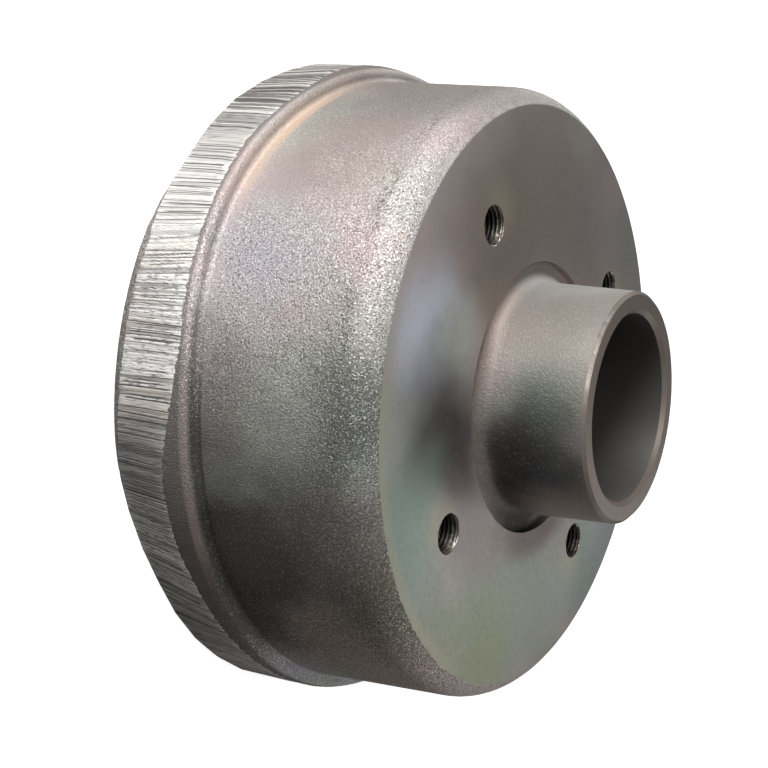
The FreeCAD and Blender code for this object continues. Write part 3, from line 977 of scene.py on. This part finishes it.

# %% [markdown]
# The hub has a film in smaller clouds, darkened on its side turned from the key, part film and part
# painted shade. Its hollow foot is browner and lighter towards the window, a painted highlight, and
# painted nearly black in one place as a painted shadow in the recess.

# %% Cast skin: the film on the hub, with its painted shade and highlight
# Rows from 277 to 326 degrees are darker film and painted shade on the side turned from the key; those
# at 303, 304 and 326 degrees are painted shade alone.
hub_film_and_shade = film(g, place, 26.0, [
    (250, 33, 84, 70, 0.75, SHADED_IRON),
    (238, 33, 84, 18, 0.70, (0.22, 0.20, 0.18, 1)),
    (277, 33, 90, 16, 0.90, (0.13, 0.155, 0.13, 1)),
    (304, 33, 88, 22, 0.90, (0.055, 0.057, 0.055, 1)),
    (303, 33, 78, 17, 0.90, (0.045, 0.04, 0.038, 1)),
    (326, 33, 77, 18, 0.90, (0.05, 0.043, 0.038, 1)),
    (318, 33, 90, 10, 0.80, (0.085, 0.09, 0.105, 1)),
    (340, 33, 93, 18, 0.95, (0.36, 0.30, 0.265, 1)),
])
hub_foot = g.ramp(where["Height"], FACE_HEIGHT + 2.0, FACE_HEIGHT)
# The root's round is painted lighter towards the window, at 228 and 188 degrees, as a painted
# highlight, and darker at 280 degrees.
foot_film_and_highlight = film(g, place, 26.0, [
    (280, 36, 71, 60, 0.90, (0.19, 0.155, 0.14, 1)),
    (228, 36, 71, 20, 0.90, (0.46, 0.38, 0.34, 1)),
    (188, 37, 71, 26, 0.90, (0.34, 0.285, 0.255, 1)),
])
hub_film_and_shade = g.mix(g.times(hub_foot, 0.8), hub_film_and_shade, foot_film_and_highlight)
# Painted shadow: the hollow foot is painted nearly black at 2 degrees, where the recess lies in shade.
low = patch(g, place, 2, 36, 72, 20)
hub_film_and_shade = g.mix(g.times(low, 0.9), hub_film_and_shade, (0.045, 0.038, 0.032, 1))
on_hub = g.ramp(where["Radius"], 50.0, 42.0)
colour = g.mix(on_hub, colour, hub_film_and_shade)
print("Cast skin, with the hub's film:", len(g.tree.nodes), "nodes")

# %% [markdown]
# The grain is at its strongest on the wall. It is calmer on the hub, at the foot and the shelf, and in
# a few soft places: angle, height, reach, and how much of the grain is left there.

# %% Cast skin: the grain
CALM_RADIUS = 90
CALM_PLACES = [(237, 44, 28, 0.6), (238, 23, 26, 0.5), (304, 30, 50, 0.35), (296, 22, 40, 0.6)]
grain = g.group(GRAIN, Place=place, Size=g.ramp(on_hub, 0.0, 1.0, 0.46, 0.62))
calm = g.ramp(on_hub, 0.0, 1.0, 1.0, 0.12)
smooth = patch(g, place, 210, CALM_RADIUS, 42, 74)
calm = g.times(calm, g.ramp(smooth, 0.0, 0.8, 1.0, 0.35))
calm = g.times(calm, g.ramp(shelf, 0.0, 1.0, 1.0, 0.4))
for angle, height, reach, share in CALM_PLACES:
    softer = patch(g, place, angle, CALM_RADIUS, height, reach)
    calm = g.times(calm, g.ramp(softer, 0.0, 0.8, 1.0, share))
calm = g.times(calm, g.ramp(foot, 0.0, 1.0, 1.0, 0.6))
rear = g.ramp(where["Height"], 9.0, 4.0)
colour = g.mix(g.times(rear, 0.75), colour, (0.24, 0.23, 0.22, 1))
pores = g.times(grain["Pores"], calm, 0.8)
tips_and_glints = g.times(grain["Tips"], calm)
colour = g.mix(pores, colour, (0.11, 0.10, 0.095, 1))
# The tips are painted near white: bright blasted iron, and painted glints.
colour = g.mix(g.times(tips_and_glints, 0.7), colour, (0.86, 0.85, 0.84, 1))
print("Cast skin, with the grain:", len(g.tree.nodes), "nodes")

# %% [markdown]
# The half-moulds met in a line ten millimetres below the face, and there the skin is pitted and dark.
# The cutter's edge round the face has been knocked bright; it is shown only on the window's side, where
# its brightness is also a painted highlight.

# %% Cast skin: the seam's pits, the knocked edge with its painted highlight, and the end
SEAM_LINE = 62.8
near_seam = g.ramp(g.gap(where["Height"], SEAM_LINE), 2.6, 0.2)
pits = g.times(near_seam, g.ramp(g.noise(place, 1.3, 3.0, 0.7), 0.50, 0.62))
pits = g.times(pits, g.ramp(g.noise(place, 14.0), 0.42, 0.62))
colour = g.mix(g.times(pits, 0.6), colour, (0.13, 0.115, 0.105, 1))
worn = worn_edge(g, where, FACE_EDGE, FACE_HEIGHT, 2.6)
# Wear on the edge, painted brighter on the window's side as a painted highlight.
edge_window_highlight = patch(g, place, 232, 82, FACE_HEIGHT, 78)
colour = g.mix(g.times(worn, edge_window_highlight, 0.5), colour, KNOCKED_AND_LIT_IRON)
gentle = g.ramp(g.math("MAXIMUM", on_hub, smooth), 0.0, 1.0, 1.0, 0.6)
lift = g.math("SUBTRACT", g.times(grain["Height"], gentle), g.times(pits, 0.7))
end_finish(shader, g, colour, g.ramp(tips_and_glints, 0.0, 1.0, 0.66, 0.42), metallic=0.7,
           relief=lift, strength=1.0, depth=0.28)

# %% [markdown]
# ### Ground band
#
# Fresh bright iron. The mesh carries two numbers for each point: how deep it lies in a groove, and how
# bright its facet is painted, partly its own tone and partly a painted sheen. Fine noise that is
# stretched along the axis adds the hair scratches that are too thin for the mesh.

# %% Ground band
BAND_RADIUS = 97
shader, g, where = new_finish("ground_band")
place = where["Place"]
groove = g.add("ShaderNodeAttribute", attribute_name="groove").outputs["Fac"]
facet_tone_and_sheen = g.add("ShaderNodeAttribute", attribute_name="facet_tone_and_sheen").outputs["Fac"]
drawn = g.add("ShaderNodeVectorMath", {0: place, 1: (1, 1, 0.06)}, operation="MULTIPLY").outputs[0]
hair = g.noise(drawn, 0.36, 2.0, 0.6)
smear = g.noise(drawn, 3.2, 2.0, 0.6)
# Facets are painted from grey to near white: their own tone, and a painted sheen.
colour = g.mix(g.ramp(facet_tone_and_sheen, 0.10, 0.6), (0.42, 0.41, 0.405, 1), (0.98, 0.975, 0.96, 1))
colour = g.mix(g.ramp(hair, 0.47, 0.36, 0.0, 0.80), colour, (0.22, 0.21, 0.205, 1))
colour = g.mix(g.ramp(smear, 0.50, 0.66, 0.0, 0.45), colour, (0.88, 0.80, 0.70, 1))
dull = patch(g, place, 218, BAND_RADIUS, 9, 42)
dulled = g.mix(g.ramp(facet_tone_and_sheen, 0.3, 0.9), (0.12, 0.115, 0.11, 1), (0.75, 0.73, 0.70, 1))
colour = g.mix(g.times(dull, 0.95), colour, dulled)
# A painted highlight round 244 degrees, facing the key, and painted shade round 292 degrees, turned
# from it.
for angle, reach, share, shade in ((244, 34, 0.60, (0.98, 0.97, 0.95, 1)),
                                   (292, 24, 0.75, (0.17, 0.165, 0.16, 1))):
    cut = patch(g, place, angle, BAND_RADIUS, 11, reach)
    colour = g.mix(g.times(cut, share), colour, shade)
colour = g.mix(g.ramp(groove, 0.08, 0.6, 0.0, 0.92), colour, (0.07, 0.065, 0.06, 1))
end_finish(shader, g, colour, g.ramp(groove, 0.0, 0.8, 0.46, 0.70), metallic=0.4,
           relief=hair, strength=0.7, depth=0.25)

# %% [markdown]
# ### Turned wheel face
#
# Nearly smooth, with rings from the cutter too fine to count and the film at its strongest: brown at
# one side, through lilac, to green at the other. Oil from the tap has stained it by each hole. The
# hub's reflection and its shadow are painted on as two dark patches.

# %% Turned wheel face
shader, g, where = new_finish("turned_face")
place = where["Place"]
# The near-black patch at 285 degrees is the hub's painted reflection, and the dark one at 305 degrees
# by the recess is the hub's painted shadow.
colour = film(g, place, 60.0, [(angle, radius, FACE_HEIGHT, *rest) for angle, radius, *rest in [
    (200, 60, 75, 0.90, (0.285, 0.24, 0.205, 1)),
    (150, 60, 60, 0.60, (0.30, 0.27, 0.255, 1)),
    (263, 66, 26, 0.95, (0.66, 0.70, 0.80, 1)),
    (262, 51, 17, 0.85, (0.52, 0.56, 0.51, 1)),
    (285, 56, 30, 0.92, (0.075, 0.07, 0.07, 1)),
    (309, 76, 34, 0.75, TEAL),
    (345, 70, 50, 0.85, (0.28, 0.32, 0.235, 1)),
    (15, 65, 50, 0.80, (0.29, 0.335, 0.275, 1)),
    (350, 80, 28, 0.85, (0.29, 0.305, 0.185, 1)),
    (47, 70, 22, 0.70, (0.25, 0.31, 0.275, 1)),
    (305, 47, 13, 0.85, (0.11, 0.09, 0.08, 1)),
    (334, 46, 20, 0.75, (0.335, 0.27, 0.265, 1)),
    (318, 50, 20, 0.70, (0.32, 0.265, 0.26, 1)),
    *[(math.degrees(a) - 4, 60.0, 12, 0.55, STRAW) for a in STUD_ANGLES],
]])
halo = patch(g, place, 14, 44, FACE_HEIGHT, 30)
halo = g.times(halo, g.ramp(where["Radius"], 50.0, 43.0))
colour = g.mix(g.times(halo, 0.85), colour, (0.19, 0.135, 0.125, 1))
cutter = g.tool_rings(where["Radius"], 0.45)
haze = g.noise(place, 1.4, 3.0, 0.65)
rim_tint = g.ramp(where["Radius"], FACE_EDGE - 5.0, FACE_EDGE - 0.5, 0.0, 0.6)
tinted = patch(g, place, 300, 80, FACE_HEIGHT, 100)
colour = g.mix(g.times(rim_tint, tinted), colour, STRAW)
colour = g.mix(g.ramp(cutter, 0.35, 0.65, 0.0, 0.10), colour, CUTTER_GREY)
colour = g.mix(g.ramp(haze, 0.50, 0.66, 0.0, 0.14), colour, CUTTER_GREY)
end_finish(shader, g, colour, g.ramp(haze, 0.3, 0.7, 0.40, 0.50), metallic=0.6,
           relief=g.math("ADD", cutter, g.times(haze, 0.7)), strength=0.30, depth=0.06)

# %% [markdown]
# ### Nose, bore, threads and shoe wall
#
# The nose ring was turned and its two chamfers were knocked bright; on the window's side they are
# painted brighter, a painted highlight.
# The bore keeps the tool's fine rings down its length. The threads are dark with cutting oil and
# bright on their crests, and painted darker deeper down each hole as painted shade. The shoe wall is
# plain grey, faintly rusted where the drum has stood.

# %% Nose ring
shader, g, where = new_finish("nose_ring")
place = where["Place"]
colour = g.group(CLOUD, Place=place, Size=24.0)["Color"]
colour = g.mix(0.85, colour, (0.195, 0.152, 0.125, 1))
haze = g.noise(place, 0.9, 3.0, 0.65)
colour = g.mix(g.ramp(haze, 0.5, 0.68, 0.0, 0.35), colour, (0.20, 0.185, 0.17, 1))
# Painted highlight: the knocked chamfers show most towards the window.
nose_window_highlight = g.ramp(patch(g, place, 248, 32, NOSE_HEIGHT, 18), 0.0, 0.6, 0.1, 1.0)
for radius, height, width, share in ((NOSE_RADIUS - 0.45, NOSE_HEIGHT - 0.45, 0.9, 0.6),
                                     (CAP_SEAT_RADIUS + 0.6, NOSE_HEIGHT - 0.6, 1.0, 0.3)):
    worn = worn_edge(g, where, radius, height, width)
    colour = g.mix(g.times(worn, nose_window_highlight, share), colour, (0.62, 0.58, 0.54, 1))
end_finish(shader, g, colour, g.ramp(haze, 0.3, 0.7, 0.36, 0.46), metallic=0.5,
           relief=haze, strength=0.4, depth=0.06)

# %% Bore
shader, g, where = new_finish("bore")
tool = g.tool_rings(where["Height"], 0.5)
haze = g.noise(where["Place"], 1.0, 3.0, 0.65)
colour = g.group(CLOUD, Place=where["Place"], Size=30.0)["Color"]
colour = g.mix(0.85, colour, (0.10, 0.096, 0.09, 1))
colour = g.mix(g.ramp(tool, 0.40, 0.62, 0.0, 0.25), colour, (0.15, 0.145, 0.14, 1))
end_finish(shader, g, colour, g.ramp(haze, 0.3, 0.7, 0.38, 0.50), metallic=0.5,
           relief=g.math("ADD", tool, haze), strength=0.3, depth=0.05)

# %% Threads
shader, g, where = new_finish("thread")
haze = g.noise(where["Place"], 0.8, 3.0, 0.65)
colour = g.mix(g.ramp(haze, 0.42, 0.62), (0.40, 0.37, 0.33, 1), (0.13, 0.115, 0.10, 1))
# Painted shade: the threads darken deeper down the hole.
deep = g.ramp(where["Height"], FACE_HEIGHT - 0.8, FACE_HEIGHT - 4.2, 0.0, 0.92)
colour = g.mix(deep, colour, (0.03, 0.028, 0.025, 1))
end_finish(shader, g, colour, g.ramp(haze, 0.3, 0.7, 0.26, 0.42), metallic=0.8,
           relief=haze, strength=0.3, depth=0.05)

# %% Shoe wall, drum floor and mouth
shader, g, where = new_finish("shoe_wall")
tool = g.tool_rings(g.math("ADD", where["Height"], where["Radius"]), 0.6)
rust = g.noise(where["Place"], 9.0, 4.0, 0.65)
haze = g.noise(where["Place"], 1.2, 3.0, 0.65)
colour = g.mix(g.ramp(tool, 0.38, 0.62), (0.40, 0.39, 0.375, 1), (0.31, 0.30, 0.29, 1))
colour = g.mix(g.ramp(rust, 0.55, 0.74, 0.0, 0.45), colour, (0.30, 0.20, 0.135, 1))
end_finish(shader, g, colour, g.ramp(haze, 0.3, 0.7, 0.40, 0.55), metallic=0.45,
           relief=g.math("ADD", tool, g.times(haze, 0.5)), strength=0.4, depth=0.06)

# %% [markdown]
# ## Camera
#
# The place and lens come from a camera that was fitted to the photograph's circles. It hangs close to
# the drum, looks down on it, and is turned by almost a quarter turn, because the photographed drum
# lay with its axis level while this one stands on its open edge.

# %% Camera
CAMERA_PLACE = Vector((23.7, -304.4, 217.4)) * MM
CAMERA_HEADING = math.radians(-85.73)
CAMERA_PITCH = math.radians(32.97)
CAMERA_ROLL = math.radians(96.37)
LENS = 54.26
SENSOR = 36.0


def camera_turn(heading, pitch, roll):
    """Rotation whose local Z points back along the view, from heading and pitch, then rolled."""
    back = Vector((math.cos(heading) * math.cos(pitch), math.sin(heading) * math.cos(pitch),
                   math.sin(pitch)))
    level = Vector((0, 0, 1)).cross(back).normalized()
    upright = back.cross(level)
    right = level * math.cos(roll) + upright * math.sin(roll)
    return Matrix((right, back.cross(right), back)).transposed()


camera_data = bpy.data.cameras.new("Camera")
camera_data.lens = LENS
camera_data.sensor_width = SENSOR
camera_data.sensor_fit = "HORIZONTAL"
camera_data.clip_start = 0.01
camera = bpy.data.objects.new("Camera", camera_data)
bpy.context.scene.collection.objects.link(camera)
turn = camera_turn(CAMERA_HEADING, CAMERA_PITCH, CAMERA_ROLL)
camera.matrix_world = Matrix.Translation(CAMERA_PLACE) @ turn.to_4x4()
bpy.context.scene.camera = camera
print("Camera at", tuple(round(c, 4) for c in CAMERA_PLACE), "lens", LENS)

# %% [markdown]
# ## Floor and light
#
# A pale floor fills the picture behind the drum. The camera sees it almost white with the drum's soft
# shadow on it. To all other rays it is dull and dark, so that it doesn't lift the drum's shaded side.

# %% Floor
FLOOR_REACH = 6.0
floor_mesh = bpy.data.meshes.new("floor")
corners = [(x * FLOOR_REACH, y * FLOOR_REACH, 0) for x, y in ((-1, -1), (1, -1), (1, 1), (-1, 1))]
floor_mesh.from_pydata(corners, [], [(0, 1, 2, 3)])
floor = bpy.data.objects.new("floor", floor_mesh)
bpy.context.scene.collection.objects.link(floor)
paint = bpy.data.materials.new("floor_paint")
paint.use_nodes = True
floor_mesh.materials.append(paint)
g = Graph(paint.node_tree)
paint.node_tree.nodes.remove(paint.node_tree.nodes["Principled BSDF"])
rays = g.add("ShaderNodeLightPath")
mottled = g.noise(g.add("ShaderNodeTexCoord").outputs["Object"], 120.0)
pale = g.mix(mottled, (0.80, 0.80, 0.80, 1), (0.84, 0.84, 0.84, 1))
far = g.ramp(g.group(WHERE)["Radius"], 350.0, 900.0)
pale = g.mix(far, pale, (1, 1, 1, 1))
seen = g.add("ShaderNodeAddShader", {
    0: g.add("ShaderNodeEmission", {"Color": pale, "Strength": 1.0}).outputs[0],
    1: g.add("ShaderNodeBsdfDiffuse", {"Color": pale}).outputs[0],
})
unseen = g.add("ShaderNodeBsdfDiffuse", {"Color": (0.18, 0.17, 0.16, 1)})
switch = g.add("ShaderNodeMixShader", {0: rays.outputs["Is Camera Ray"], 1: unseen.outputs[0],
                                       2: seen.outputs[0]})
g.link(switch.outputs[0], g.tree.nodes["Material Output"].inputs["Surface"])
print("The floor is %.0f m across" % (2 * FLOOR_REACH))

# %% [markdown]
# The key is a large soft window at the drum's upper left in the picture. A weak warm one from below
# keeps the underside readable. A high window on the same side as the key lights the hub's foot and the
# front round. A lamp behind the drum gleams on the lower half of the wheel face, two low ones beside it
# fill the side that the photo's camera doesn't see, and a faint one overhead shapes the shoulder.

# %% Light
WINDOW_LIGHT = (1.0, 0.99, 0.98)
WARM_LIGHT = (1.0, 0.90, 0.80)
COOL_LIGHT = (0.98, 0.99, 1.0)
PLAIN_LIGHT = (1.0, 1.0, 1.0)
bpy.context.scene.view_settings.view_transform = "Standard"


def soft_lamp(name, heading, elevation, distance, size, power, colour):
    """A square lamp that looks at the middle of the drum. Angles in degrees, size in metres."""
    data = bpy.data.lights.new(name, "AREA")
    data.energy = power
    data.size = size
    data.color = colour
    lamp = bpy.data.objects.new(name, data)
    bpy.context.scene.collection.objects.link(lamp)
    turn, rise = math.radians(heading), math.radians(elevation)
    middle = Vector((0, 0, NOSE_HEIGHT / 2)) * MM
    lamp.location = middle + distance * Vector((math.cos(turn) * math.cos(rise),
                                                math.sin(turn) * math.cos(rise), math.sin(rise)))
    lamp.rotation_euler = (middle - lamp.location).to_track_quat("-Z", "Y").to_euler()
    lamp.visible_camera = False
    print("Lamp %s gives %.2f W" % (name, power))


soft_lamp("key", 227, 10, 0.8, 0.40, 8.4, WINDOW_LIGHT)
soft_lamp("high_window", 236, 56, 0.9, 0.45, 2.6, WINDOW_LIGHT)
soft_lamp("low_fill", 350, 12, 0.9, 0.6, 0.32, WARM_LIGHT)
soft_lamp("face_light", 68, 36, 0.9, 0.7, 1.45, COOL_LIGHT)
soft_lamp("back_fill", 150, 5, 0.9, 0.3, 2.0, COOL_LIGHT)
soft_lamp("far_fill", 36, 4, 0.9, 0.3, 0.8, COOL_LIGHT)
soft_lamp("overhead", 0, 78, 0.9, 0.6, 0.35, PLAIN_LIGHT)

# %% [markdown]
# The world is nearly dark for the drum, a little lighter in its reflections, and white for the camera.

# %% World
world = bpy.data.worlds.new("studio")
bpy.context.scene.world = world
world.use_nodes = True
g = Graph(world.node_tree)
rays = g.add("ShaderNodeLightPath")
dim = g.mix(rays.outputs["Is Glossy Ray"], (0.03, 0.03, 0.031, 1), (0.07, 0.07, 0.072, 1))
shown = g.mix(rays.outputs["Is Camera Ray"], dim, (1, 1, 1, 1))
g.link(shown, world.node_tree.nodes["Background"].inputs["Color"])
print("World:", world.name)
